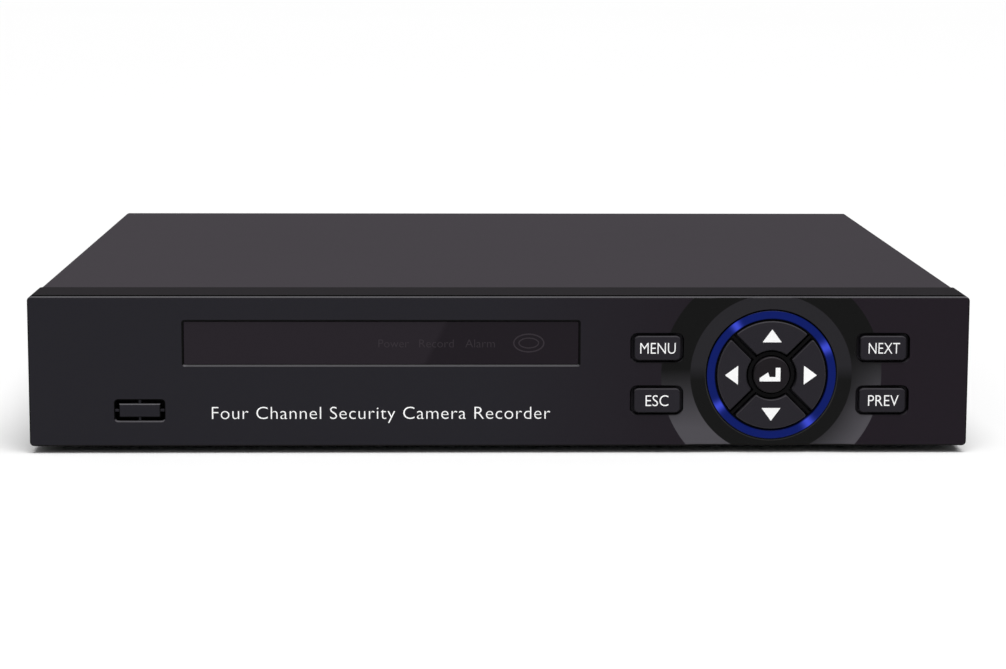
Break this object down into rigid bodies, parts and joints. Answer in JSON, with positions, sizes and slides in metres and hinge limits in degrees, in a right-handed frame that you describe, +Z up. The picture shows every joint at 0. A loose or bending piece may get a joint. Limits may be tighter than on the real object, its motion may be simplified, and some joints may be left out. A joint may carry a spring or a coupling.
{
  "type": "dvr recorder",
  "caption": "Slim desktop security video recorder: steel case, black bezel with keypad, light ring and display window, drive and board inside, sockets at the rear.",
  "frame": {"origin": "middle of the whole object's box, on the surface that it stands on", "axes": "+Z up, +X to the right as seen from the front, +Y towards the rear sockets; the front faces -Y"},
  "size_m": [0.2572, 0.2376, 0.043],
  "materials": {
    "bezel_plastic": "moulded black ABS, satin face with a glossy upper lip",
    "smoked_lens": "polished smoked acrylic, nearly black",
    "ring_light": "translucent blue acrylic light guide",
    "pad_plastic": "matt black moulded plastic",
    "key_plastic": "fine-textured black key tops with printed legends",
    "plunger_plastic": "pale grey moulded plastic",
    "cover_paint": "fine-textured dark grey powder coat",
    "tray_steel": "dark grey powder coat over steel sheet",
    "foot_rubber": "black rubber",
    "screw_black": "black oxide",
    "screw_zinc": "zinc plated",
    "board_laminate": "green solder mask over glass laminate",
    "black_plastic": "black moulded plastic",
    "clear_lamp": "clear moulded resin",
    "white_plastic": "white moulded plastic",
    "sink_aluminium": "plain aluminium",
    "plain_steel": "plain stainless steel",
    "lead_sleeve": "coloured vinyl sleeves with black plugs",
    "ribbon_vinyl": "grey ribbon cable",
    "bright_nickel": "bright nickel plate",
    "contact_gold": "gold flash over brass",
    "blue_plastic": "blue moulded insulator"
  },
  "bodies": {
    "case": {"front_bezel": "bezel_plastic", "display_window": "smoked_lens", "ring_light_guide": "ring_light", "dpad_frame": "pad_plastic", "top_cover": "cover_paint", "base_chassis": "tray_steel", "rubber_feet": "foot_rubber", "cover_screws": "screw_black", "bezel_screws": "screw_zinc", "inner_screws": "screw_zinc", "key_board": "board_laminate", "main_board": "board_laminate", "switch_housings": "black_plastic", "board_chips": "black_plastic", "bnc_housings": "black_plastic", "rca_bodies": "black_plastic", "dc_jack_body": "black_plastic", "hdmi_tongue": "black_plastic", "infrared_receiver": "black_plastic", "indicator_leds": "clear_lamp", "ring_leds": "clear_lamp", "board_sockets": "white_plastic", "bnc_insulators": "white_plastic", "rca_inserts": "white_plastic", "usb_tongues": "white_plastic", "heat_sink": "sink_aluminium", "board_capacitors": "sink_aluminium", "hard_drive_casting": "sink_aluminium", "coin_cell": "plain_steel", "hard_drive_lid": "plain_steel", "drive_cables": "lead_sleeve", "key_ribbon_cable": "ribbon_vinyl", "bnc_shells": "bright_nickel", "bnc_nuts": "bright_nickel", "rca_shells": "bright_nickel", "vga_shell": "bright_nickel", "vga_jackscrews": "bright_nickel", "hdmi_shell": "bright_nickel", "lan_socket": "bright_nickel", "usb_shell": "bright_nickel", "rear_contacts": "contact_gold", "vga_insert": "blue_plastic"},
    "up_key": {"key_up": "key_plastic", "switch_plunger_up": "plunger_plastic"},
    "down_key": {"key_down": "key_plastic", "switch_plunger_down": "plunger_plastic"},
    "left_key": {"key_left": "key_plastic", "switch_plunger_left": "plunger_plastic"},
    "right_key": {"key_right": "key_plastic", "switch_plunger_right": "plunger_plastic"},
    "enter_key": {"key_enter": "key_plastic", "switch_plunger_enter": "plunger_plastic"},
    "menu_key": {"key_menu": "key_plastic", "switch_plunger_menu": "plunger_plastic"},
    "esc_key": {"key_esc": "key_plastic", "switch_plunger_esc": "plunger_plastic"},
    "next_key": {"key_next": "key_plastic", "switch_plunger_next": "plunger_plastic"},
    "prev_key": {"key_prev": "key_plastic", "switch_plunger_prev": "plunger_plastic"}
  },
  "joints": [
    {"name": "press_up", "type": "slide", "parent": "case", "child": "up_key", "axis": [0, 1, 0], "range_m": [0, 0.0005], "stiffness_N_per_m": 1500, "springref_m": -0.0005},
    {"name": "press_down", "type": "slide", "parent": "case", "child": "down_key", "axis": [0, 1, 0], "range_m": [0, 0.0005], "stiffness_N_per_m": 1500, "springref_m": -0.0005},
    {"name": "press_left", "type": "slide", "parent": "case", "child": "left_key", "axis": [0, 1, 0], "range_m": [0, 0.0005], "stiffness_N_per_m": 1500, "springref_m": -0.0005},
    {"name": "press_right", "type": "slide", "parent": "case", "child": "right_key", "axis": [0, 1, 0], "range_m": [0, 0.0005], "stiffness_N_per_m": 1500, "springref_m": -0.0005},
    {"name": "press_enter", "type": "slide", "parent": "case", "child": "enter_key", "axis": [0, 1, 0], "range_m": [0, 0.0005], "stiffness_N_per_m": 1500, "springref_m": -0.0005},
    {"name": "press_menu", "type": "slide", "parent": "case", "child": "menu_key", "axis": [0, 1, 0], "range_m": [0, 0.0005], "stiffness_N_per_m": 1500, "springref_m": -0.0005},
    {"name": "press_esc", "type": "slide", "parent": "case", "child": "esc_key", "axis": [0, 1, 0], "range_m": [0, 0.0005], "stiffness_N_per_m": 1500, "springref_m": -0.0005},
    {"name": "press_next", "type": "slide", "parent": "case", "child": "next_key", "axis": [0, 1, 0], "range_m": [0, 0.0005], "stiffness_N_per_m": 1500, "springref_m": -0.0005},
    {"name": "press_prev", "type": "slide", "parent": "case", "child": "prev_key", "axis": [0, 1, 0], "range_m": [0, 0.0005], "stiffness_N_per_m": 1500, "springref_m": -0.0005}
  ]
}
